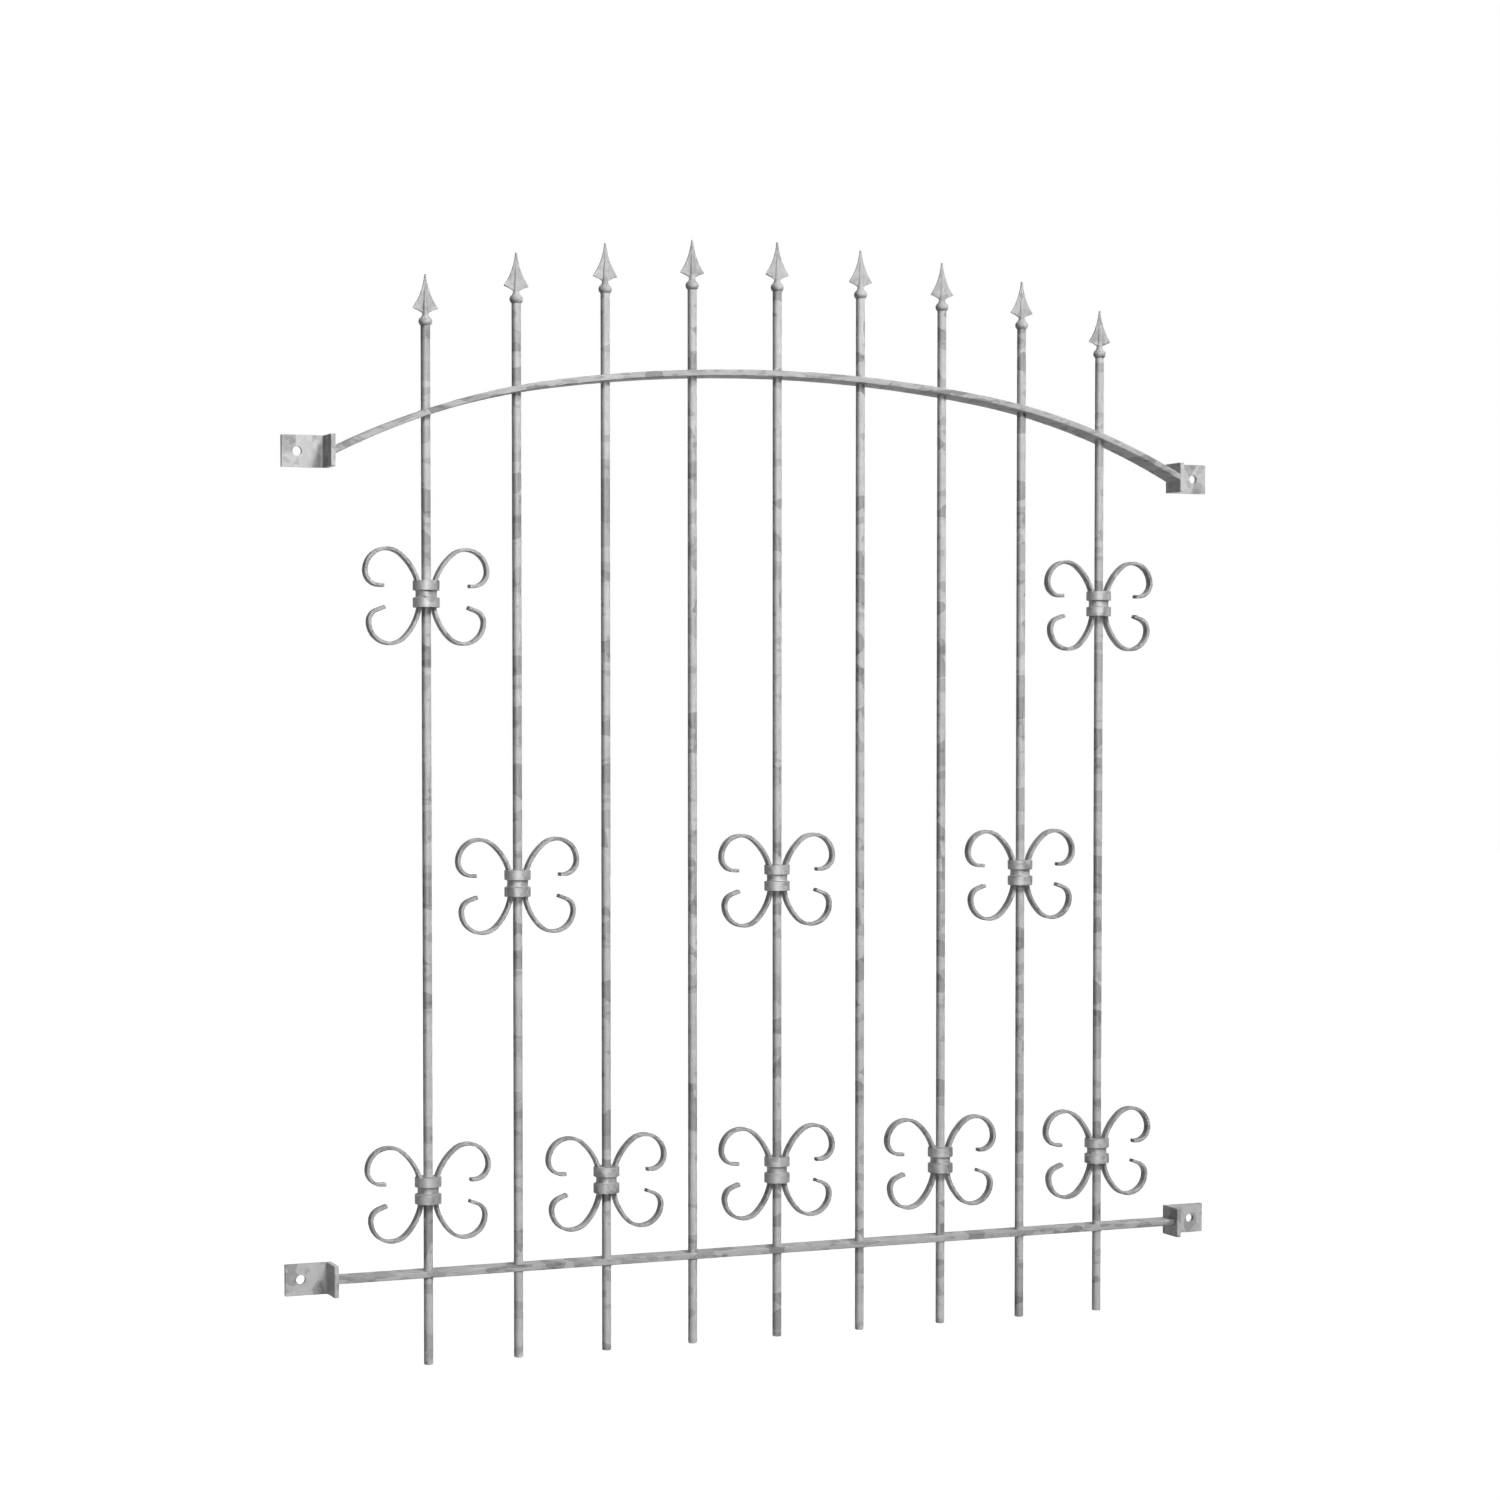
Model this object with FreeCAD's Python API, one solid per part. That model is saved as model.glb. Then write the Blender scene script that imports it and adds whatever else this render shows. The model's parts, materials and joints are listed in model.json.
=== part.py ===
import FreeCAD, Part
import math
import os

from FreeCAD import Vector

# Window grille of galvanised steel: round bars with spear heads, threaded through an arched rail
# and a straight rail, dressed with pairs of C-scrolls held by turned collars, and bolted to the
# wall by four angle brackets.
# Frame: X across the window, Z up, the front faces -Y. The origin lies in the wall plane, at the
# middle of the four bolt holes.

# Driving dimensions in millimetres and degrees

# Bars
bar_count = 9
bar_pitch = 120.0
bar_diameter = 12.0
bar_standoff = 26.0
bar_foot = 115.0
bar_head = 108.5
bar_chamfer = 0.8

# Rails
end_bay = 120.0
arch_depth = 40.0
arch_thickness = 8.0
arch_rise = 118.0
arch_crown_half = 306.0
arch_haunch_radius = 960.0
bottom_rail_depth = 30.0
bottom_rail_thickness = 8.0
bottom_rail_lip = 2.0
rail_edge = 0.8

# Angle brackets
bracket_flange = 60.0
bracket_web = 40.0
bracket_thickness = 6.0
bracket_length = 40.0
bracket_root = 4.0
bracket_edge = 0.8
hole_diameter = 12.0
hole_edge_distance = 20.0
bolt_rise = 1036.0

# C-scrolls: a long back arc against the bar, a round shoulder and a tighter curl at each end
scroll_depth = 12.0
scroll_thickness = 4.5
scroll_edge = 0.8
scroll_back_radius = 70.5
scroll_touch_drop = 4.5
upper_back_sweep = 50.8
upper_shoulder_radius = 27.7
upper_curl_radius = 18.2
upper_curl_sweep = 90.0
upper_tail = 5.4
lower_back_sweep = 45.0
lower_shoulder_radius = 27.0
lower_curl_radius = 15.7
lower_curl_sweep = 70.0
lower_tail = 11.0

# Collars round the bar and the backs of two scrolls
collar_rim_height = 12.5
collar_groove = 9.0
collar_waist_wall = 0.5
collar_rim_wall = 1.5
collar_edge = 0.7
collar_root = 2.0

# Heights of the collars above the middle of the bottom rail
lower_tier = 106.7
middle_tier = 493.0
upper_tier = 859.8

# Spear heads
spear_height = 64.0
spear_width = 34.2
spear_corner_height = 21.3
spear_tip_width = 2.2
spear_flank_hollow = 3.1
spear_lower_hollow = 0.9
leaf_thickness = 2.4
leaf_edge = 0.7
leaf_corner_radius = 1.2
leaf_root_height = 14.6
leaf_root_width = 6.0
ball_diameter = 17.2
ball_belly_height = 5.2
ball_height = 10.2
ball_top_diameter = 12.0
neck_height = 12.2
neck_diameter = 9.4
rib_foot_height = 15.5
rib_foot_diameter = 7.8
rib_height = 62.0
rib_tip_diameter = 2.0

# Clearances
bar_clearance = 0.1
collar_clearance = 0.15
scroll_clearance = 0.15

# Derived places
bar_radius = bar_diameter / 2.0
bar_y = -bar_standoff
bar_x = [(index - (bar_count - 1) / 2.0) * bar_pitch for index in range(bar_count)]
half_span = bar_x[-1] + end_bay
rail_z = -bolt_rise / 2.0
spring_z = bolt_rise / 2.0


def polar(centre, radius, degrees):
    """Point in a plane parallel to XZ, at an angle measured from +X towards +Z."""
    turn = math.radians(degrees)
    return centre + Vector(radius * math.cos(turn), 0.0, radius * math.sin(turn))


def arc_edge(centre, radius, start, end):
    middle = polar(centre, radius, (start + end) / 2.0)
    return Part.Arc(polar(centre, radius, start), middle, polar(centre, radius, end)).toShape()


def line_edge(start, end):
    return Part.LineSegment(start, end).toShape()


def face_of(edges):
    return Part.Face(Part.Wire(Part.__sortEdges__(edges)))


def long_edges(solid, shortest):
    """Edges that run across the depth or along the length, longer than a given size."""
    return [edge for edge in solid.Edges if edge.Length > shortest]


# The arch: a flat crown arc that runs tangent into a tighter haunch arc at each side

def crown_slope():
    """Slope angle where the crown meets the haunch, so that the haunch ends at the springing."""
    low = 0.0
    high = math.pi / 4.0
    for _ in range(60):
        slope = (low + high) / 2.0
        foot_sine = math.sin(slope) + (half_span - arch_crown_half) / arch_haunch_radius
        if foot_sine >= 1.0:
            high = slope
            continue
        foot_cosine = math.sqrt(1.0 - foot_sine ** 2)
        crown_drop = arch_crown_half * math.tan(slope / 2.0)
        haunch_drop = arch_haunch_radius * (math.cos(slope) - foot_cosine)
        if crown_drop + haunch_drop < arch_rise:
            low = slope
        else:
            high = slope
    return slope


arch_slope = crown_slope()
arch_crown_radius = arch_crown_half / math.sin(arch_slope)
crown_centre_z = spring_z + arch_rise - arch_crown_radius
haunch_centre_x = (arch_crown_radius - arch_haunch_radius) * math.sin(arch_slope)
haunch_centre_z = crown_centre_z + (arch_crown_radius - arch_haunch_radius) * math.cos(arch_slope)


def arch_height(x, offset=0.0):
    """Height of the arch's middle line, or of a line offset from it, at a place across the span."""
    reach = abs(x)
    crown_radius = arch_crown_radius + offset
    if reach <= crown_radius * math.sin(arch_slope):
        return crown_centre_z + math.sqrt(crown_radius ** 2 - reach ** 2)
    haunch_radius = arch_haunch_radius + offset
    return haunch_centre_z + math.sqrt(haunch_radius ** 2 - (reach - haunch_centre_x) ** 2)


def arch_edges(offset, y):
    """The three arcs of one face of the arch, from the left web to the right web."""
    join = 90.0 - math.degrees(arch_slope)
    crown = Vector(0.0, y, crown_centre_z)
    edges = [arc_edge(crown, arch_crown_radius + offset, 180.0 - join, join)]
    for side in (-1.0, 1.0):
        centre = Vector(side * haunch_centre_x, y, haunch_centre_z)
        foot = Vector(side * half_span, y, arch_height(half_span, offset))
        foot_angle = math.degrees(math.atan2(foot.z - centre.z, foot.x - centre.x))
        join_angle = join if side > 0 else 180.0 - join
        edges.append(arc_edge(centre, arch_haunch_radius + offset, join_angle, foot_angle))
    return edges


def bar_holes(bottom, height):
    radius = bar_radius + bar_clearance
    return [Part.makeCylinder(radius, height, Vector(x, bar_y, bottom)) for x in bar_x]


def arch_rail():
    back = arch_thickness / 2.0
    edges = arch_edges(back, -arch_depth) + arch_edges(-back, -arch_depth)
    for side in (-1.0, 1.0):
        top = Vector(side * half_span, -arch_depth, arch_height(half_span, back))
        bottom = Vector(side * half_span, -arch_depth, arch_height(half_span, -back))
        edges.append(line_edge(top, bottom))
    solid = face_of(edges).extrude(Vector(0.0, arch_depth, 0.0))
    solid = solid.makeChamfer(rail_edge, long_edges(solid, 2.0 * arch_depth))
    return solid.cut(bar_holes(spring_z - arch_rise, 3.0 * arch_rise))


def bottom_rail():
    front = bar_y - bar_radius - bottom_rail_lip
    corner = Vector(-half_span, front, rail_z - bottom_rail_thickness / 2.0)
    solid = Part.makeBox(2.0 * half_span, bottom_rail_depth, bottom_rail_thickness, corner)
    solid = solid.makeChamfer(rail_edge, long_edges(solid, 2.0 * bottom_rail_depth))
    return solid.cut(bar_holes(rail_z - bottom_rail_thickness, 2.0 * bottom_rail_thickness))


# Bars, each reaching the same height above the arch

def bar_top(x):
    return arch_height(x) + bar_head


def bar(x):
    bottom = rail_z - bar_foot
    solid = Part.makeCylinder(bar_radius, bar_top(x) - bottom, Vector(x, bar_y, bottom))
    foot = [edge for edge in solid.Edges if edge.BoundBox.ZMax < bottom + bar_chamfer]
    return solid.makeChamfer(bar_chamfer, foot)


# Spear heads: a turned ball, a hollow neck and a tapering rib, with a thin flat leaf cast on

def spear_core():
    """Half section of the ball, the neck and the rib, in the XZ plane about the Z axis."""
    axis_foot = Vector(0.0, 0.0, 0.0)
    seat = Vector(bar_radius + bar_clearance, 0.0, 0.0)
    belly = Vector(ball_diameter / 2.0, 0.0, ball_belly_height)
    ball_top = Vector(ball_top_diameter / 2.0, 0.0, ball_height)
    neck = Vector(neck_diameter / 2.0, 0.0, neck_height)
    rib_foot = Vector(rib_foot_diameter / 2.0, 0.0, rib_foot_height)
    rib_tip = Vector(rib_tip_diameter / 2.0, 0.0, rib_height)
    axis_top = Vector(0.0, 0.0, rib_height)
    section = [
        line_edge(axis_foot, seat),
        Part.Arc(seat, belly, ball_top).toShape(),
        Part.Arc(ball_top, neck, rib_foot).toShape(),
        line_edge(rib_foot, rib_tip),
        line_edge(rib_tip, axis_top),
        line_edge(axis_top, axis_foot),
    ]
    return face_of(section).revolve(Vector(0.0, 0.0, 0.0), Vector(0.0, 0.0, 1.0), 360.0)


def is_leaf_corner(edge):
    """True for the two edges that cross the leaf's thickness at its widest points."""
    crosses = edge.BoundBox.ZLength < leaf_edge
    return crosses and abs(edge.BoundBox.Center.z - spear_corner_height) < leaf_corner_radius


def hollow_edge(start, end, depth):
    """Arc between two points of the leaf's outline, sunk towards the leaf's middle by a depth."""
    across = Vector(end.z - start.z, 0.0, start.x - end.x).normalize()
    inward = across if across.x * start.x < 0.0 else -across
    return Part.Arc(start, (start + end) * 0.5 + inward * depth, end).toShape()


def spear_leaf():
    """Flat leaf with hollow flanks and a hollow underside, from its root in the rib to the tip."""
    front = -leaf_thickness / 2.0
    edges = []
    for side in (-1.0, 1.0):
        tip = Vector(side * spear_tip_width / 2.0, front, spear_height)
        corner = Vector(side * spear_width / 2.0, front, spear_corner_height)
        root = Vector(side * leaf_root_width / 2.0, front, leaf_root_height)
        edges.append(hollow_edge(tip, corner, spear_flank_hollow))
        edges.append(hollow_edge(corner, root, spear_lower_hollow))
    edges.append(line_edge(edges[0].Vertexes[0].Point, edges[2].Vertexes[0].Point))
    edges.append(line_edge(edges[1].Vertexes[-1].Point, edges[3].Vertexes[-1].Point))
    solid = face_of(edges).extrude(Vector(0.0, leaf_thickness, 0.0))
    corners = [edge for edge in solid.Edges if edge.BoundBox.XLength < leaf_edge and is_leaf_corner(edge)]
    solid = solid.makeFillet(leaf_corner_radius, corners)
    flanks = [edge for edge in solid.Edges if edge.BoundBox.YLength < leaf_edge < edge.BoundBox.ZLength]
    return solid.makeChamfer(leaf_edge, flanks)


def spear(x):
    solid = spear_core().fuse(spear_leaf()).removeSplitter()
    solid.translate(Vector(x, bar_y, bar_top(x)))
    return solid


# C-scrolls

def scroll_half(centre, sign, back_sweep, shoulder_radius, curl_radius, curl_sweep, tail, offset):
    """Edges of one face of the strip from the touch point outwards, above or below it."""
    join = 180.0 - sign * back_sweep
    shoulder = polar(centre, scroll_back_radius - shoulder_radius, join)
    curl = polar(shoulder, shoulder_radius - curl_radius, 0.0)
    turn_end = 180.0 - sign * 180.0
    curl_end = turn_end - sign * curl_sweep
    end = polar(curl, curl_radius + offset, curl_end)
    tail_end = polar(end, tail, curl_end - sign * 90.0)
    edges = [
        arc_edge(centre, scroll_back_radius + offset, 180.0, join),
        arc_edge(shoulder, shoulder_radius + offset, join, turn_end),
        arc_edge(curl, curl_radius + offset, turn_end, curl_end),
        line_edge(end, tail_end),
    ]
    return edges, tail_end


def scroll_strip(x, z, thickness, depth):
    """Plain strip of one scroll on the +X side of a bar, with its own thickness and depth."""
    touch_x = x + bar_radius + scroll_clearance + scroll_thickness / 2.0
    centre = Vector(touch_x + scroll_back_radius, bar_y - depth / 2.0, z - scroll_touch_drop)
    halves = (
        (1.0, upper_back_sweep, upper_shoulder_radius, upper_curl_radius, upper_curl_sweep, upper_tail),
        (-1.0, lower_back_sweep, lower_shoulder_radius, lower_curl_radius, lower_curl_sweep, lower_tail),
    )
    edges = []
    for half in halves:
        outer, outer_end = scroll_half(centre, *half, thickness / 2.0)
        inner, inner_end = scroll_half(centre, *half, -thickness / 2.0)
        edges.extend(outer + inner)
        edges.append(line_edge(outer_end, inner_end))
    return face_of(edges).extrude(Vector(0.0, depth, 0.0))


def on_side(solid, x, side):
    if side == "right":
        return solid
    return solid.mirror(Vector(x, 0.0, 0.0), Vector(1.0, 0.0, 0.0))


def scroll(x, z, side):
    solid = scroll_strip(x, z, scroll_thickness, scroll_depth)
    rims = [edge for edge in solid.Edges if edge.BoundBox.YLength < scroll_edge]
    return on_side(solid.makeChamfer(scroll_edge, rims), x, side)


# Collars

def content_radius(height):
    """Distance from the bar's axis to the furthest corner of the strips, at a height in a collar."""
    lift = height + scroll_touch_drop
    flare = scroll_back_radius - math.sqrt(scroll_back_radius ** 2 - lift ** 2)
    half_width = bar_radius + scroll_clearance + scroll_thickness + collar_clearance + flare
    return math.hypot(half_width, scroll_depth / 2.0 + collar_clearance)


def rings(solid):
    """Whole circles among the edges of a turned solid."""
    return [edge for edge in solid.Edges if edge.isClosed()]


def collar(x, z):
    half_groove = collar_groove / 2.0
    half_height = half_groove + collar_rim_height
    rim_radius = content_radius(half_height) + collar_rim_wall
    waist_radius = content_radius(half_groove) + collar_waist_wall
    foot = Vector(x, bar_y, z - half_height)
    solid = Part.makeCylinder(rim_radius, 2.0 * half_height, foot)
    ring_foot = Vector(x, bar_y, z - half_groove)
    ring = Part.makeCylinder(2.0 * rim_radius, collar_groove, ring_foot)
    solid = solid.cut(ring.cut(Part.makeCylinder(waist_radius, collar_groove, ring_foot)))
    between = (waist_radius + rim_radius) / 2.0
    rims = [edge for edge in rings(solid) if edge.Curve.Radius > between]
    solid = solid.makeFillet(collar_edge, rims)
    roots = [edge for edge in rings(solid) if edge.Curve.Radius < between]
    solid = solid.makeFillet(collar_root, roots)
    bore = Part.makeCylinder(bar_radius + bar_clearance, 2.0 * half_height, foot)
    strip = scroll_strip(
        x, z, scroll_thickness + 2.0 * collar_clearance, scroll_depth + 2.0 * collar_clearance)
    return solid.cut([bore, strip, on_side(strip, x, "left")])


# Angle brackets

def bracket(side, z):
    """Angle on the +X or -X side, its web against the rail's end and its flange on the wall."""
    outline = [
        Vector(0.0, 0.0, 0.0),
        Vector(bracket_flange, 0.0, 0.0),
        Vector(bracket_flange, -bracket_thickness, 0.0),
        Vector(bracket_thickness, -bracket_thickness, 0.0),
        Vector(bracket_thickness, -bracket_web, 0.0),
        Vector(0.0, -bracket_web, 0.0),
    ]
    solid = Part.Face(Part.makePolygon(outline + outline[:1])).extrude(Vector(0.0, 0.0, bracket_length))
    root = [
        edge for edge in solid.Edges
        if edge.BoundBox.ZLength > bracket_length / 2.0
        and abs(edge.BoundBox.XMin - bracket_thickness) < bracket_edge
        and abs(edge.BoundBox.YMin + bracket_thickness) < bracket_edge
    ]
    solid = solid.makeFillet(bracket_root, root)
    front = [
        edge for edge in solid.Edges
        if edge.BoundBox.YMax < -bracket_web + bracket_edge
        or edge.BoundBox.XMin > bracket_flange - bracket_edge
    ]
    solid = solid.makeFillet(bracket_edge, front)
    hole_foot = Vector(bracket_flange - hole_edge_distance, 0.0, bracket_length / 2.0)
    hole = Part.makeCylinder(hole_diameter / 2.0, bracket_thickness, hole_foot, Vector(0.0, -1.0, 0.0))
    solid = solid.cut(hole)
    solid.translate(Vector(half_span, 0.0, z - bracket_length / 2.0))
    if side < 0:
        return solid.mirror(Vector(0.0, 0.0, 0.0), Vector(1.0, 0.0, 0.0))
    return solid


# Assembly: each piece under its own name

def assembly():
    pieces = {"arch_rail": arch_rail(), "bottom_rail": bottom_rail()}
    for number, x in enumerate(bar_x, start=1):
        pieces[f"bar_{number}"] = bar(x)
        pieces[f"spear_{number}"] = spear(x)
    for level, z in (("top", spring_z), ("bottom", rail_z)):
        pieces[f"bracket_{level}_left"] = bracket(-1, z)
        pieces[f"bracket_{level}_right"] = bracket(1, z)
    last = bar_count - 1
    tiers = {
        "upper": (upper_tier, [0, last]),
        "middle": (middle_tier, [1, last // 2, last - 1]),
        "lower": (lower_tier, range(0, bar_count, 2)),
    }
    for tier, (height, bars) in tiers.items():
        for index in bars:
            name = f"{tier}_{index + 1}"
            place = (bar_x[index], rail_z + height)
            pieces[f"collar_{name}"] = collar(*place)
            for side in ("left", "right"):
                pieces[f"scroll_{name}_{side}"] = scroll(*place, side)
    return pieces


os.makedirs("parts", exist_ok=True)
for node, shape in assembly().items():
    shape.exportStep(f"parts/{node}.step")
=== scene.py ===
# %% [markdown]
# # An arched window grille in galvanised steel
# The grille stands in front of a window and is bolted to the wall. Its round bars pass through two
# flat rails, C-scrolls sit on the bars in turned collars, and a spear head caps every bar. After
# welding, the whole grille was dipped in molten zinc, which left a grey skin of zinc crystals.
# This lesson keeps the exact steel from the frame and adds what the dip and the welder left behind.

# %% Load the frame
import json
import math

import bmesh
import bpy
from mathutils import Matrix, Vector


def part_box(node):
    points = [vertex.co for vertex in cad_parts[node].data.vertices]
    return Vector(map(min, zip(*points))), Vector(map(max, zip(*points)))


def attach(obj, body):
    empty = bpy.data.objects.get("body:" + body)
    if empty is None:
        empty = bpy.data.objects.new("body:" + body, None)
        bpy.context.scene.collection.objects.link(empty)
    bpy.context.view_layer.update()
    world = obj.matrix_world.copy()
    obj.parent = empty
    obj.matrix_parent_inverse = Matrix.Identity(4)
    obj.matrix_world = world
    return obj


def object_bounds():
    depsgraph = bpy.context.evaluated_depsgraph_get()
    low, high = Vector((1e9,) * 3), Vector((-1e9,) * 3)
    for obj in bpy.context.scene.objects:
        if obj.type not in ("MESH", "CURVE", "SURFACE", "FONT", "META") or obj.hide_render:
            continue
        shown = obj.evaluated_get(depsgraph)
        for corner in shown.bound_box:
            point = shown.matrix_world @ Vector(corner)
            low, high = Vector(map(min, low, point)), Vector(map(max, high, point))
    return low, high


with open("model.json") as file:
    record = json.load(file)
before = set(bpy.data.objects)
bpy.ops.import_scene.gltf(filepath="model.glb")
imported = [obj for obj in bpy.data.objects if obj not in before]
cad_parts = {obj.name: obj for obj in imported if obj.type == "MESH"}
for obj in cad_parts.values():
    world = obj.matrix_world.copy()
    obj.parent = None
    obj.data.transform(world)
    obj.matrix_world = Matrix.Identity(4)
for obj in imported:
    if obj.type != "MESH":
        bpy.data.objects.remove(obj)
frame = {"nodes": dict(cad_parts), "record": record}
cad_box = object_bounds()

MM = 0.001
print("nodes in the frame:", len(frame["nodes"]))

# %% [markdown]
# ## Sorting the steel
# Each kind of piece came from a different shop: bars and flats from the rolling mill, angles cut
# from long lengths, scrolls bent cold, collars turned, spears cast. Their zinc looks different too,
# so the nodes are gathered by the slot that the record gives them, and each slot gets a finish.

# %% Sort the nodes by slot
slot_of_node = {part["node"]: part["material_slot"] for part in frame["record"]["subparts"]}
pieces_of_slot = {}
for node_name, node in sorted(frame["nodes"].items()):
    pieces_of_slot.setdefault(slot_of_node[node_name], []).append(node)
for slot_name, pieces in pieces_of_slot.items():
    print(slot_name, len(pieces))

# %% [markdown]
# ## The camera
# The grille is seen from the left and from nearly its own height, with a long lens. The place and the
# turn were worked out from the edges of the bars and rails. The picture is a crop whose middle lies
# above the lens axis, so the camera is shifted a little instead of being tilted.

# %% Camera
PICTURE_PIXELS = 1500
LENS_PIXELS = 3205.1
AXIS_COLUMN_PIXEL = 749.6
AXIS_ROW_PIXEL = 816.6
SENSOR_MM = 36.0
camera_place = Vector((-1.6582, -3.9108, 0.1943))
camera_turn = math.radians(22.624)
camera_drop = math.radians(1.881)

camera_data = bpy.data.cameras.new("picture_camera")
camera_data.sensor_width = SENSOR_MM
camera_data.lens = LENS_PIXELS / PICTURE_PIXELS * SENSOR_MM
camera_data.shift_x = (PICTURE_PIXELS / 2 - AXIS_COLUMN_PIXEL) / PICTURE_PIXELS
camera_data.shift_y = (AXIS_ROW_PIXEL - PICTURE_PIXELS / 2) / PICTURE_PIXELS
camera = bpy.data.objects.new("picture_camera", camera_data)
camera.location = camera_place
camera.rotation_euler = (math.pi / 2 - camera_drop, 0.0, -camera_turn)
bpy.context.scene.collection.objects.link(camera)
bpy.context.scene.camera = camera
bpy.context.scene.view_settings.view_transform = "Standard"
print("lens", round(camera_data.lens, 2), "mm, shift", round(camera_data.shift_y, 4))

# %% [markdown]
# ## Node helpers
# A shader is a graph, and most of its nodes need only a type, a few settings and a few links. Two
# helpers keep the graphs readable: one makes a node and sets its sockets, the other joins sockets.

# %% Helpers for node trees
def add_node(tree, kind, sockets=None, **settings):
    node = tree.nodes.new(kind)
    for setting, value in settings.items():
        setattr(node, setting, value)
    for socket, value in (sockets or {}).items():
        node.inputs[socket].default_value = value
    return node


def join(tree, *pairs):
    for output, target in pairs:
        tree.links.new(output, target)


print("helpers ready")

# %% [markdown]
# ## Zinc
# Zinc freezes in flat crystals, the spangle. Each crystal is one tone, with a sharp border, and its
# neighbours are a little lighter or darker. A Voronoi texture makes the same pattern: its Color output
# is one random value for each cell. A ramp with hard steps then turns about a third of the cells
# dark. The cells are stretched along the piece, because the zinc runs off it as it is lifted.
# Smaller cells, a soft cloud and fine grain are multiplied in, so that no crystal is one flat tone.

# %% Tone of the zinc crystals
def crystal_tone(tree, place, cell, seed, steps):
    """Random tone of each crystal: cell is its size along X, Y and Z, and steps are (share, tone)."""
    shift = add_node(tree, "ShaderNodeMapping", vector_type="POINT")
    shift.inputs["Scale"].default_value = [1.0 / size for size in cell]
    shift.inputs["Location"].default_value = (seed, seed * 0.37, seed * 0.71)
    cells = add_node(tree, "ShaderNodeTexVoronoi", {"Scale": 1.0, "Randomness": 1.0}, feature="F1")
    lot = add_node(tree, "ShaderNodeSeparateColor")
    ramp = add_node(tree, "ShaderNodeValToRGB")
    ramp.color_ramp.interpolation = "CONSTANT"
    stops = ramp.color_ramp.elements
    while len(stops) < len(steps):
        stops.new(1.0)
    start = 0.0
    for stop, (share, tone) in zip(stops, steps):
        stop.position = start
        stop.color = (tone, tone, tone, 1.0)
        start += share
    join(tree, (place, shift.inputs["Vector"]), (shift.outputs["Vector"], cells.inputs["Vector"]),
         (cells.outputs["Color"], lot.inputs["Color"]), (lot.outputs["Red"], ramp.inputs["Fac"]))
    return ramp.outputs["Color"]


def multiplied(tree, first, second):
    mix = add_node(tree, "ShaderNodeMix", {"Factor": 1.0}, data_type="RGBA", blend_type="MULTIPLY")
    join(tree, (first, mix.inputs["A"]), (second, mix.inputs["B"]))
    return mix.outputs["Result"]


def cloud_tone(tree, place, size, low, high, detail=3.0):
    """Soft noise that runs from a low to a high tone, with clouds of about the given size."""
    noise = add_node(tree, "ShaderNodeTexNoise", {"Scale": 1.0 / size, "Detail": detail, "Roughness": 0.6})
    spread = add_node(tree, "ShaderNodeMapRange",
                      {"From Min": 0.3, "From Max": 0.7, "To Min": low, "To Max": high})
    join(tree, (place, noise.inputs["Vector"]), (noise.outputs["Fac"], spread.inputs["Value"]))
    return spread.outputs["Result"]


def speck_tone(tree, place):
    """Bright specks, about a millimetre wide, that gather in some places and leave others bare."""
    dots = add_node(tree, "ShaderNodeTexVoronoi", {"Scale": 1.0 / (3.2 * MM)}, feature="F1")
    near = add_node(tree, "ShaderNodeMapRange",
                    {"From Min": 0.16, "From Max": 0.26, "To Min": 1.0, "To Max": 0.0})
    flock = add_node(tree, "ShaderNodeTexNoise", {"Scale": 1.0 / (38 * MM), "Detail": 1.0})
    gathered = add_node(tree, "ShaderNodeMapRange",
                        {"From Min": 0.55, "From Max": 0.66, "To Min": 0.0, "To Max": 0.16})
    lift = add_node(tree, "ShaderNodeMath", operation="MULTIPLY_ADD")
    lift.inputs[2].default_value = 1.0
    join(tree, (place, dots.inputs["Vector"]), (dots.outputs["Distance"], near.inputs["Value"]),
         (place, flock.inputs["Vector"]), (flock.outputs["Fac"], gathered.inputs["Value"]),
         (near.outputs["Result"], lift.inputs[0]), (gathered.outputs["Result"], lift.inputs[1]))
    return lift.outputs[0]


print("crystal tones ready")

# %% [markdown]
# ## One finish for each kind of piece
# The zinc is not a mirror: its skin has dulled, so it is only partly metallic and rather rough. The
# borders of the crystals are a little ragged, so the place that the Voronoi reads is first pushed
# about by a fine noise. Darker crystals are also smoother, and a slight bump breaks the highlights.

# %% Zinc finish
ZINC = 0.50
RAGGED = 1.6 * MM


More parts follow.
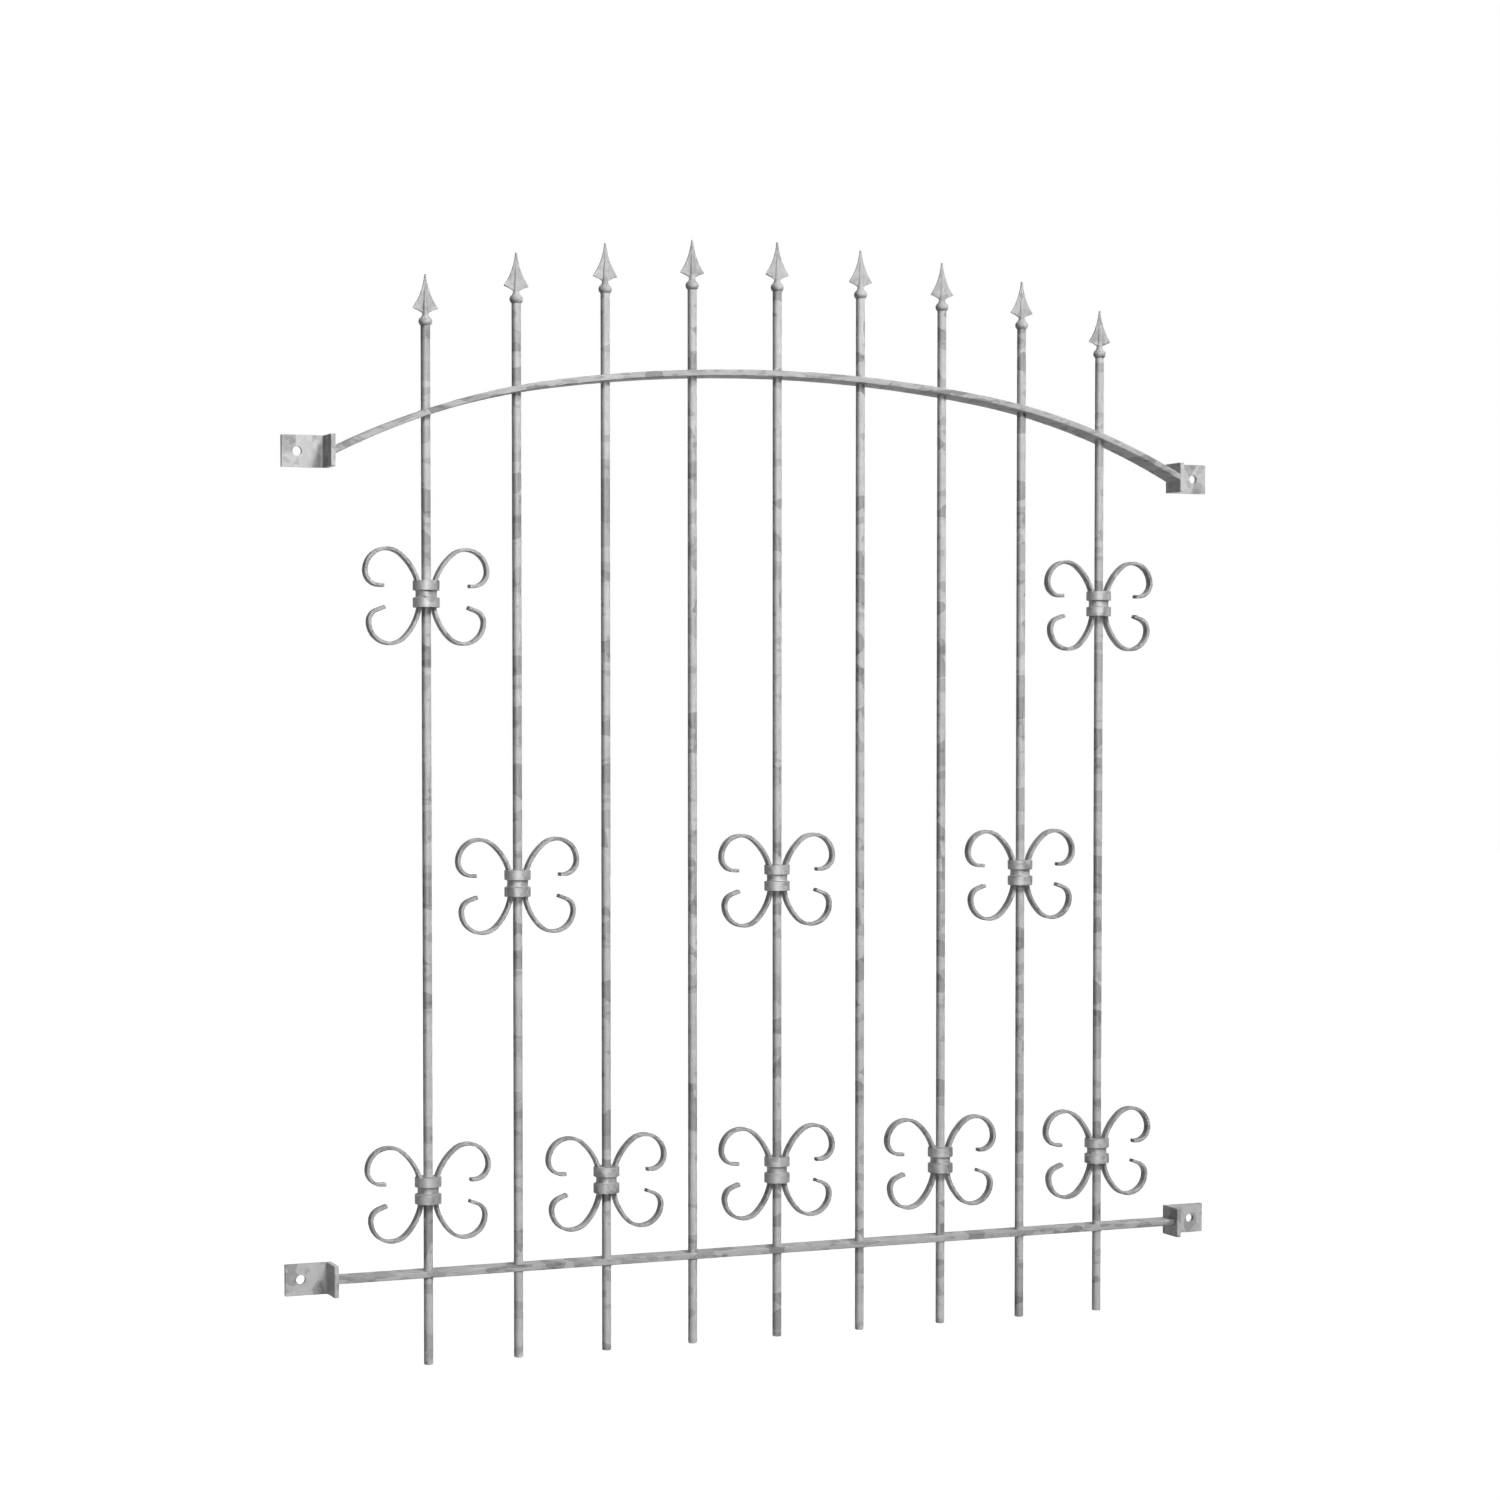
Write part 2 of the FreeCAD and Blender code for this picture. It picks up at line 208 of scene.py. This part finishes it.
def zinc_finish(name, cell, seed, tone=1.0, contrast=1.0, metallic=0.10, dullness=0.54, shine=0.04):
    material = bpy.data.materials.new(name)
    material.use_nodes = True
    tree = material.node_tree
    shader = tree.nodes["Principled BSDF"]
    place = add_node(tree, "ShaderNodeTexCoord").outputs["Object"]

    push = add_node(tree, "ShaderNodeTexNoise",
                    {"Scale": 1.0 / (7.0 * MM), "Detail": 4.0, "Roughness": 0.6})
    centred = add_node(tree, "ShaderNodeVectorMath", operation="SUBTRACT")
    centred.inputs[1].default_value = (0.5, 0.5, 0.5)
    pushed = add_node(tree, "ShaderNodeVectorMath", operation="MULTIPLY_ADD")
    pushed.inputs[1].default_value = (2.0 * RAGGED, 2.0 * RAGGED, 2.0 * RAGGED)
    join(tree, (place, push.inputs["Vector"]), (push.outputs["Color"], centred.inputs[0]),
         (centred.outputs["Vector"], pushed.inputs[0]), (place, pushed.inputs[2]))
    ragged_place = pushed.outputs["Vector"]

    def darker(amount):
        return 1.0 - amount * contrast

    large = crystal_tone(tree, ragged_place, cell, seed,
                         [(0.34, 1.0), (0.15, darker(0.40)), (0.15, darker(0.24)), (0.36, darker(0.05))])
    small_cell = [size * 0.38 for size in cell]
    small = crystal_tone(tree, ragged_place, small_cell, seed + 5.3,
                         [(0.44, 1.0), (0.11, darker(0.24)), (0.30, darker(0.04)), (0.15, 1.06)])
    cloud = cloud_tone(tree, place, 45 * MM, 0.95, 1.04)
    grain = cloud_tone(tree, place, 1.6 * MM, 0.94, 1.05, detail=4.0)
    specks = speck_tone(tree, place)
    both = multiplied(tree, large, small)
    zinc = multiplied(tree, multiplied(tree, multiplied(tree, both, cloud), grain), specks)
    base = add_node(tree, "ShaderNodeMix", {"Factor": 1.0}, data_type="RGBA", blend_type="MULTIPLY")
    base.inputs["B"].default_value = (ZINC * tone, ZINC * tone, ZINC * tone, 1.0)
    smooth = add_node(tree, "ShaderNodeMapRange", {"From Min": 0.6, "From Max": 1.05})
    smooth.inputs["To Min"].default_value = dullness - 0.06
    smooth.inputs["To Max"].default_value = dullness + 0.06
    bump = add_node(tree, "ShaderNodeBump", {"Strength": 0.35, "Distance": 0.25 * MM})
    join(tree, (zinc, base.inputs["A"]), (base.outputs["Result"], shader.inputs["Base Color"]),
         (both, smooth.inputs["Value"]), (smooth.outputs["Result"], shader.inputs["Roughness"]),
         (grain, bump.inputs["Height"]), (bump.outputs["Normal"], shader.inputs["Normal"]))
    shader.inputs["Metallic"].default_value = metallic
    shader.inputs["Specular IOR Level"].default_value = shine
    return material


finishes = {
    "galvanised_bar": zinc_finish("zinc_on_bars", (42 * MM, 42 * MM, 22 * MM), 3.1),
    "galvanised_flat": zinc_finish("zinc_on_flats", (26 * MM, 40 * MM, 8 * MM), 7.4, tone=0.86),
    "galvanised_angle": zinc_finish(
        "zinc_on_angles", (18 * MM, 18 * MM, 18 * MM), 1.7, contrast=0.8, dullness=0.50, shine=0.10),
    "galvanised_scroll": zinc_finish(
        "zinc_on_scrolls", (14 * MM, 14 * MM, 14 * MM), 9.2, tone=0.82, contrast=0.7),
    "galvanised_collar": zinc_finish(
        "zinc_on_collars", (12 * MM, 12 * MM, 12 * MM), 4.6, tone=0.70, contrast=0.8, metallic=0.38,
        dullness=0.54),
    "galvanised_spear": zinc_finish(
        "zinc_on_spears", (12 * MM, 12 * MM, 12 * MM), 6.3, tone=0.88, contrast=0.5),
}
for slot_name, pieces in pieces_of_slot.items():
    for piece in pieces:
        piece.data.materials.clear()
        piece.data.materials.append(finishes[slot_name])
print("finishes:", ", ".join(finishes))

# %% [markdown]
# ## Where the bars pass through the rails
# At each crossing the zinc fills the narrow gap round the bar and leaves a small bead. The crossings
# are measured on the frame: a ray dropped beside each bar finds the top and the underside of the rail
# there, with the slope of the arch. Every crossing becomes one point with its own lean.

# %% Measure the crossings
bars = [frame["nodes"][f"bar_{number}"] for number in range(1, len(pieces_of_slot["galvanised_bar"]) + 1)]
rails = [frame["nodes"]["arch_rail"], frame["nodes"]["bottom_rail"]]
bpy.context.view_layer.update()


def bar_axis(bar):
    low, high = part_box(bar.name)
    return (low + high) / 2, (high.x - low.x) / 2


RAY_START = 0.1
BESIDE_BAR = 1.5


def rail_face(rail, x, y, downwards):
    """Point and normal of the rail's top, or of its underside, at a place beside a bar."""
    low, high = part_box(rail.name)
    start = Vector((x, y, high.z + RAY_START if downwards else low.z - RAY_START))
    heading = Vector((0.0, 0.0, -1.0 if downwards else 1.0))
    _, point, normal, _ = rail.ray_cast(start, heading)
    return point, normal


crossing_places = []
crossing_leans = []
for rail in rails:
    for bar in bars:
        middle, radius = bar_axis(bar)
        for downwards in (True, False):
            left, left_normal = rail_face(rail, middle.x - BESIDE_BAR * radius, middle.y, downwards)
            right, right_normal = rail_face(rail, middle.x + BESIDE_BAR * radius, middle.y, downwards)
            crossing_places.append((left + right) / 2)
            crossing_leans.append((left_normal + right_normal).normalized())
print("crossings:", len(crossing_places), "bar radius", round(radius / MM, 2), "mm")

# %% [markdown]
# ## Zinc beads, with Geometry Nodes
# Thirty-six beads are the same small ring, set at every crossing and leaned with the rail. Instances on
# points are made for that: one ring is modelled, and each point carries its lean. A
# fixed noise then makes each ring uneven. The tree ends by realising the instances, because a plain
# mesh is needed afterwards.

# %% Geometry Nodes helpers
def new_tree(name, inputs):
    """Geometry tree with a geometry in and out, and one named float or int input for each size."""
    tree = bpy.data.node_groups.new(name, "GeometryNodeTree")
    tree.interface.new_socket("Geometry", in_out="INPUT", socket_type="NodeSocketGeometry")
    tree.interface.new_socket("Geometry", in_out="OUTPUT", socket_type="NodeSocketGeometry")
    for label, kind in inputs.items():
        tree.interface.new_socket(label, in_out="INPUT", socket_type=kind)
    return tree, tree.nodes.new("NodeGroupInput"), tree.nodes.new("NodeGroupOutput")


def set_inputs(modifier, values):
    for item in modifier.node_group.interface.items_tree:
        if item.in_out == "INPUT" and item.name in values:
            modifier[item.identifier] = values[item.name]


def finished_mesh(name, source, tree, values):
    """Runs a tree on a source mesh and keeps the result as a plain mesh that rides on the grille."""
    carrier = bpy.data.objects.new(name + "_carrier", source)
    bpy.context.scene.collection.objects.link(carrier)
    modifier = carrier.modifiers.new(name, "NODES")
    modifier.node_group = tree
    set_inputs(modifier, values)
    evaluated = carrier.evaluated_get(bpy.context.evaluated_depsgraph_get())
    mesh = bpy.data.meshes.new_from_object(evaluated)
    carrier.modifiers.remove(modifier)
    bpy.data.objects.remove(carrier)
    piece = bpy.data.objects.new(name, mesh)
    mesh.name = name
    bpy.context.scene.collection.objects.link(piece)
    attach(piece, "root")
    print(name, len(mesh.polygons), "faces")


def uneven(tree, geometry, offset_size, noise_size):
    """Pushes every point along its normal by a fixed noise."""
    noise = add_node(tree, "ShaderNodeTexNoise", {"Detail": 2.0})
    join(tree, (noise_size, noise.inputs["Scale"]))
    centred = add_node(tree, "ShaderNodeMath", operation="SUBTRACT")
    centred.inputs[1].default_value = 0.5
    amount = add_node(tree, "ShaderNodeMath", operation="MULTIPLY")
    along = add_node(tree, "ShaderNodeVectorMath", operation="SCALE")
    normal = add_node(tree, "GeometryNodeInputNormal")
    push = add_node(tree, "GeometryNodeSetPosition")
    join(tree, (noise.outputs["Fac"], centred.inputs[0]), (centred.outputs[0], amount.inputs[0]),
         (offset_size, amount.inputs[1]), (normal.outputs["Normal"], along.inputs[0]),
         (amount.outputs[0], along.inputs["Scale"]), (geometry, push.inputs["Geometry"]),
         (along.outputs["Vector"], push.inputs["Offset"]))
    return push.outputs["Geometry"]


def realised(tree, geometry, material, output):
    """The end of every tree: real mesh, smooth faces, one material."""
    smooth = add_node(tree, "GeometryNodeSetShadeSmooth")
    real = add_node(tree, "GeometryNodeRealizeInstances")
    coat = add_node(tree, "GeometryNodeSetMaterial", {"Material": material})
    join(tree, (geometry, real.inputs["Geometry"]), (real.outputs["Geometry"], smooth.inputs["Geometry"]),
         (smooth.outputs["Geometry"], coat.inputs["Geometry"]),
         (coat.outputs["Geometry"], output.inputs["Geometry"]))


print("geometry helpers ready")

# %% Zinc beads round the bars
RING_STEPS = 32
SECTION_STEPS = 10


def point_mesh(name, places, leans):
    mesh = bpy.data.meshes.new(name)
    mesh.from_pydata(places, [], [])
    lean = mesh.attributes.new("lean", "FLOAT_VECTOR", "POINT")
    lean.data.foreach_set("vector", [value for vector in leans for value in vector])
    return mesh


def bead_tree(material):
    sizes = {"Ring Radius": "NodeSocketFloat", "Bead Radius": "NodeSocketFloat",
             "Unevenness": "NodeSocketFloat", "Noise Scale": "NodeSocketFloat"}
    tree, start, end = new_tree("zinc_beads", sizes)
    ring = add_node(tree, "GeometryNodeCurvePrimitiveCircle", {"Resolution": RING_STEPS})
    section = add_node(tree, "GeometryNodeCurvePrimitiveCircle", {"Resolution": SECTION_STEPS})
    bead = add_node(tree, "GeometryNodeCurveToMesh")
    lean = add_node(tree, "GeometryNodeInputNamedAttribute", {"Name": "lean"}, data_type="FLOAT_VECTOR")
    turn = add_node(tree, "FunctionNodeAlignRotationToVector", axis="Z")
    setting = add_node(tree, "GeometryNodeInstanceOnPoints")
    real = add_node(tree, "GeometryNodeRealizeInstances")
    join(tree, (start.outputs["Ring Radius"], ring.inputs["Radius"]),
         (start.outputs["Bead Radius"], section.inputs["Radius"]),
         (ring.outputs["Curve"], bead.inputs["Curve"]),
         (section.outputs["Curve"], bead.inputs["Profile Curve"]),
         (start.outputs["Geometry"], setting.inputs["Points"]),
         (bead.outputs["Mesh"], setting.inputs["Instance"]),
         (lean.outputs["Attribute"], turn.inputs["Vector"]),
         (turn.outputs["Rotation"], setting.inputs["Rotation"]),
         (setting.outputs["Instances"], real.inputs["Geometry"]))
    rough = uneven(tree, real.outputs["Geometry"], start.outputs["Unevenness"], start.outputs["Noise Scale"])
    realised(tree, rough, material, end)
    return tree


bead_points = point_mesh("bead_points", crossing_places, crossing_leans)
finished_mesh(
    "zinc_beads", bead_points, bead_tree(finishes["galvanised_flat"]),
    {"Ring Radius": radius + 0.1 * MM, "Bead Radius": 0.7 * MM, "Unevenness": 0.5 * MM, "Noise Scale": 260.0})

# %% [markdown]
# ## Seams at the brackets
# Each rail end is welded to the web of its bracket. The weld is dressed flush before the dip, so only a
# fine seam of zinc shows along the top and along the underside. A line is drawn where the faces
# meet, it is cut into even steps, and a thin round section is swept along it with closed ends.

# %% Lines where the rails meet the brackets
SEAM_MARGIN = 2.0 * MM
SEAM_INSET = 0.2 * MM


def seam_lines():
    places, lines = [], []
    for rail in rails:
        low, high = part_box(rail.name)
        for end, inward in ((low.x, 1.0), (high.x, -1.0)):
            for downwards in (True, False):
                face, _ = rail_face(rail, end + inward * SEAM_INSET, (low.y + high.y) / 2, downwards)
                lines.append((len(places), len(places) + 1))
                places.append((end + inward * SEAM_INSET, low.y + SEAM_MARGIN, face.z))
                places.append((end + inward * SEAM_INSET, high.y - SEAM_MARGIN, face.z))
    return places, lines


seam_places, seam_edges = seam_lines()
print("seam lines:", len(seam_edges))

# %% Zinc seams
def seam_tree(material):
    sizes = {"Step": "NodeSocketFloat", "Seam Radius": "NodeSocketFloat",
             "Unevenness": "NodeSocketFloat", "Noise Scale": "NodeSocketFloat"}
    tree, start, end = new_tree("zinc_seams", sizes)
    line = add_node(tree, "GeometryNodeMeshToCurve")
    steps = add_node(tree, "GeometryNodeResampleCurve", mode="LENGTH")
    section = add_node(tree, "GeometryNodeCurvePrimitiveCircle", {"Resolution": SECTION_STEPS})
    seam = add_node(tree, "GeometryNodeCurveToMesh", {"Fill Caps": True})
    join(tree, (start.outputs["Geometry"], line.inputs["Mesh"]),
         (line.outputs["Curve"], steps.inputs["Curve"]), (start.outputs["Step"], steps.inputs["Length"]),
         (start.outputs["Seam Radius"], section.inputs["Radius"]),
         (steps.outputs["Curve"], seam.inputs["Curve"]),
         (section.outputs["Curve"], seam.inputs["Profile Curve"]))
    rough = uneven(tree, seam.outputs["Mesh"], start.outputs["Unevenness"], start.outputs["Noise Scale"])
    realised(tree, rough, material, end)
    return tree


seam_source = bpy.data.meshes.new("seam_lines")
seam_source.from_pydata(seam_places, seam_edges, [])
finished_mesh(
    "zinc_seams", seam_source, seam_tree(finishes["galvanised_angle"]),
    {"Step": 2.0 * MM, "Seam Radius": 0.7 * MM, "Unevenness": 0.4 * MM, "Noise Scale": 300.0})

# %% [markdown]
# ## Pimples of zinc
# Dross from the bath freezes on the steel as small pimples. They lie at random on the surface, so points
# are scattered on the faces of the bars and rails with a fixed seed, and a small flat drop is set on
# each. The back of the arched rail lies on the wall, so it gets none.

# %% Zinc pimples on the bars and rails
WALL_GAP = 1.0 * MM


def merged_copy(name, pieces):
    """One mesh of several pieces, with the loose triangles joined and the faces on the wall left out."""
    shape = bmesh.new()
    for piece in pieces:
        shape.from_mesh(piece.data)
    bmesh.ops.remove_doubles(shape, verts=shape.verts, dist=0.001 * MM)
    wall_y = cad_box[1].y - WALL_GAP
    wall_faces = [face for face in shape.faces if min(corner.co.y for corner in face.verts) > wall_y]
    bmesh.ops.delete(shape, geom=wall_faces, context="FACES")
    mesh = bpy.data.meshes.new(name)
    shape.to_mesh(mesh)
    shape.free()
    return mesh


def pimple_tree(material):
    sizes = {"Per Square Metre": "NodeSocketFloat", "Drop Radius": "NodeSocketFloat"}
    tree, start, end = new_tree("zinc_pimples", sizes)
    scatter = add_node(tree, "GeometryNodeDistributePointsOnFaces", {"Seed": 11},
                       distribute_method="RANDOM")
    drop = add_node(tree, "GeometryNodeMeshUVSphere", {"Segments": 8, "Rings": 5})
    size = add_node(tree, "FunctionNodeRandomValue", {"Seed": 3}, data_type="FLOAT")
    size.inputs[2].default_value = 0.5
    size.inputs[3].default_value = 1.3
    flat = add_node(tree, "ShaderNodeVectorMath", operation="SCALE")
    flat.inputs[0].default_value = (1.0, 1.0, 0.6)
    setting = add_node(tree, "GeometryNodeInstanceOnPoints")
    join(tree, (start.outputs["Geometry"], scatter.inputs["Mesh"]),
         (start.outputs["Per Square Metre"], scatter.inputs["Density"]),
         (start.outputs["Drop Radius"], drop.inputs["Radius"]), (size.outputs[1], flat.inputs["Scale"]),
         (scatter.outputs["Points"], setting.inputs["Points"]),
         (scatter.outputs["Rotation"], setting.inputs["Rotation"]),
         (drop.outputs["Mesh"], setting.inputs["Instance"]),
         (flat.outputs["Vector"], setting.inputs["Scale"]))
    realised(tree, setting.outputs["Instances"], material, end)
    return tree


finished_mesh(
    "zinc_pimples", merged_copy("bars_and_rails", bars + rails), pimple_tree(finishes["galvanised_bar"]),
    {"Per Square Metre": 1100.0, "Drop Radius": 0.7 * MM})

# %% [markdown]
# ## The studio
# The light is soft and comes from the front and the right, so the left flank of every bar stays dark.
# A second box near the camera draws the fine bright line along the bars, and a third one behind lights
# the back without a shine of its own. The ground is white: the world shows plain white to the camera
# and to reflections, and gives only a little light of its own.

# %% World
world = bpy.data.worlds.new("white_studio")
bpy.context.scene.world = world
world.use_nodes = True
sky = world.node_tree
sky.nodes.clear()
shown = add_node(sky, "ShaderNodeBackground", {"Color": (1.0, 1.0, 1.0, 1.0), "Strength": 1.0})
light = add_node(sky, "ShaderNodeBackground", {"Color": (1.0, 1.0, 1.0, 1.0), "Strength": 0.012})
rays = add_node(sky, "ShaderNodeLightPath")
seen = add_node(sky, "ShaderNodeMath", operation="MAXIMUM")
mirrored = add_node(sky, "ShaderNodeMath", operation="MAXIMUM")
choice = add_node(sky, "ShaderNodeMixShader")
sky_output = add_node(sky, "ShaderNodeOutputWorld")
join(sky, (rays.outputs["Is Glossy Ray"], mirrored.inputs[0]),
     (rays.outputs["Is Transmission Ray"], mirrored.inputs[1]),
     (rays.outputs["Is Camera Ray"], seen.inputs[0]), (mirrored.outputs[0], seen.inputs[1]),
     (seen.outputs[0], choice.inputs["Fac"]), (light.outputs[0], choice.inputs[1]),
     (shown.outputs[0], choice.inputs[2]), (choice.outputs[0], sky_output.inputs["Surface"]))
print("white world, own light", light.inputs["Strength"].default_value)

# %% Lamps
middle_of_grille = (cad_box[0] + cad_box[1]) / 2
upper_left = middle_of_grille + Vector((-0.40, 0.0, 0.60))


def soft_box(name, side_degrees, lift_degrees, distance, size, watts,
             aim=middle_of_grille, spread_degrees=180.0):
    """Square lamp that faces its aim, at an angle from straight ahead (+ is right) and a lift."""
    side = math.radians(side_degrees)
    lift = math.radians(lift_degrees)
    heading = Vector((math.sin(side) * math.cos(lift), -math.cos(side) * math.cos(lift), math.sin(lift)))
    lamp_data = bpy.data.lights.new(name, "AREA")
    lamp_data.size = size
    lamp_data.energy = watts
    lamp_data.spread = math.radians(spread_degrees)
    lamp = bpy.data.objects.new(name, lamp_data)
    lamp.location = aim + heading * distance
    lamp.rotation_euler = heading.to_track_quat("Z", "Y").to_euler()
    bpy.context.scene.collection.objects.link(lamp)
    return lamp


soft_box("key_box", 20.0, 38.0, 7.0, 2.2, 97.0, aim=upper_left, spread_degrees=70.0)
soft_box("side_box", 65.0, 15.0, 4.0, 1.0, 27.0)
shine_box = soft_box("shine_box", -19.0, 8.0, 4.4, 2.0, 300.0)
shine_box.visible_diffuse = False
back_box = soft_box("back_box", 165.0, 8.0, 7.0, 2.2, 42.0, spread_degrees=60.0)
back_box.visible_glossy = False
back_box.visible_camera = False
print("lamps around", tuple(round(value, 3) for value in middle_of_grille))

# %% [markdown]
# ## The floor
# A grille hangs on its wall at window height, so the floor lies a metre below its feet. The floor is
# pale and catches the shadow. The lamps light it less and less with the distance, so it glows for
# the camera and for reflections, more where it lies further off, and meets the white world without a line.

# %% Floor
FLOOR_DROP = 1.0
FLOOR_SIZE = 60.0
floor_mesh = bpy.data.meshes.new("floor")
half_floor = FLOOR_SIZE / 2
floor_mesh.from_pydata([(-half_floor, -half_floor, 0.0), (half_floor, -half_floor, 0.0),
                        (half_floor, half_floor, 0.0), (-half_floor, half_floor, 0.0)], [], [(0, 1, 2, 3)])
floor = bpy.data.objects.new("floor", floor_mesh)
floor.location.z = cad_box[0].z - FLOOR_DROP
bpy.context.scene.collection.objects.link(floor)
floor_paint = bpy.data.materials.new("pale_floor")
floor_paint.use_nodes = True
floor_tree = floor_paint.node_tree
floor_shader = floor_tree.nodes["Principled BSDF"]
floor_shader.inputs["Base Color"].default_value = (0.60, 0.60, 0.60, 1.0)
floor_shader.inputs["Roughness"].default_value = 0.9
floor_shader.inputs["Emission Color"].default_value = (1.0, 1.0, 1.0, 1.0)
floor_rays = add_node(floor_tree, "ShaderNodeLightPath")
floor_seen = add_node(floor_tree, "ShaderNodeMath", operation="MAXIMUM")
floor_mirrored = add_node(floor_tree, "ShaderNodeMath", operation="MAXIMUM")
floor_place = add_node(floor_tree, "ShaderNodeTexCoord")
floor_distance = add_node(floor_tree, "ShaderNodeVectorMath", operation="LENGTH")
floor_fade = add_node(floor_tree, "ShaderNodeMapRange",
                      {"From Min": 1.0, "From Max": 7.0, "To Min": 0.76, "To Max": 0.98})
floor_glow = add_node(floor_tree, "ShaderNodeMath", operation="MULTIPLY")
join(floor_tree, (floor_rays.outputs["Is Glossy Ray"], floor_mirrored.inputs[0]),
     (floor_rays.outputs["Is Transmission Ray"], floor_mirrored.inputs[1]),
     (floor_rays.outputs["Is Camera Ray"], floor_seen.inputs[0]),
     (floor_mirrored.outputs[0], floor_seen.inputs[1]),
     (floor_place.outputs["Object"], floor_distance.inputs[0]),
     (floor_distance.outputs["Value"], floor_fade.inputs["Value"]),
     (floor_fade.outputs["Result"], floor_glow.inputs[0]), (floor_seen.outputs[0], floor_glow.inputs[1]),
     (floor_glow.outputs[0], floor_shader.inputs["Emission Strength"]))
floor_mesh.materials.append(floor_paint)
print("floor at", round(floor.location.z, 3), "m")

# %% [markdown]
# ## Size
# The finish must not change the size of the grille. The box of the frame is printed.

# %% Size of the frame
print("cad", [tuple(round(value, 4) for value in corner) for corner in cad_box])
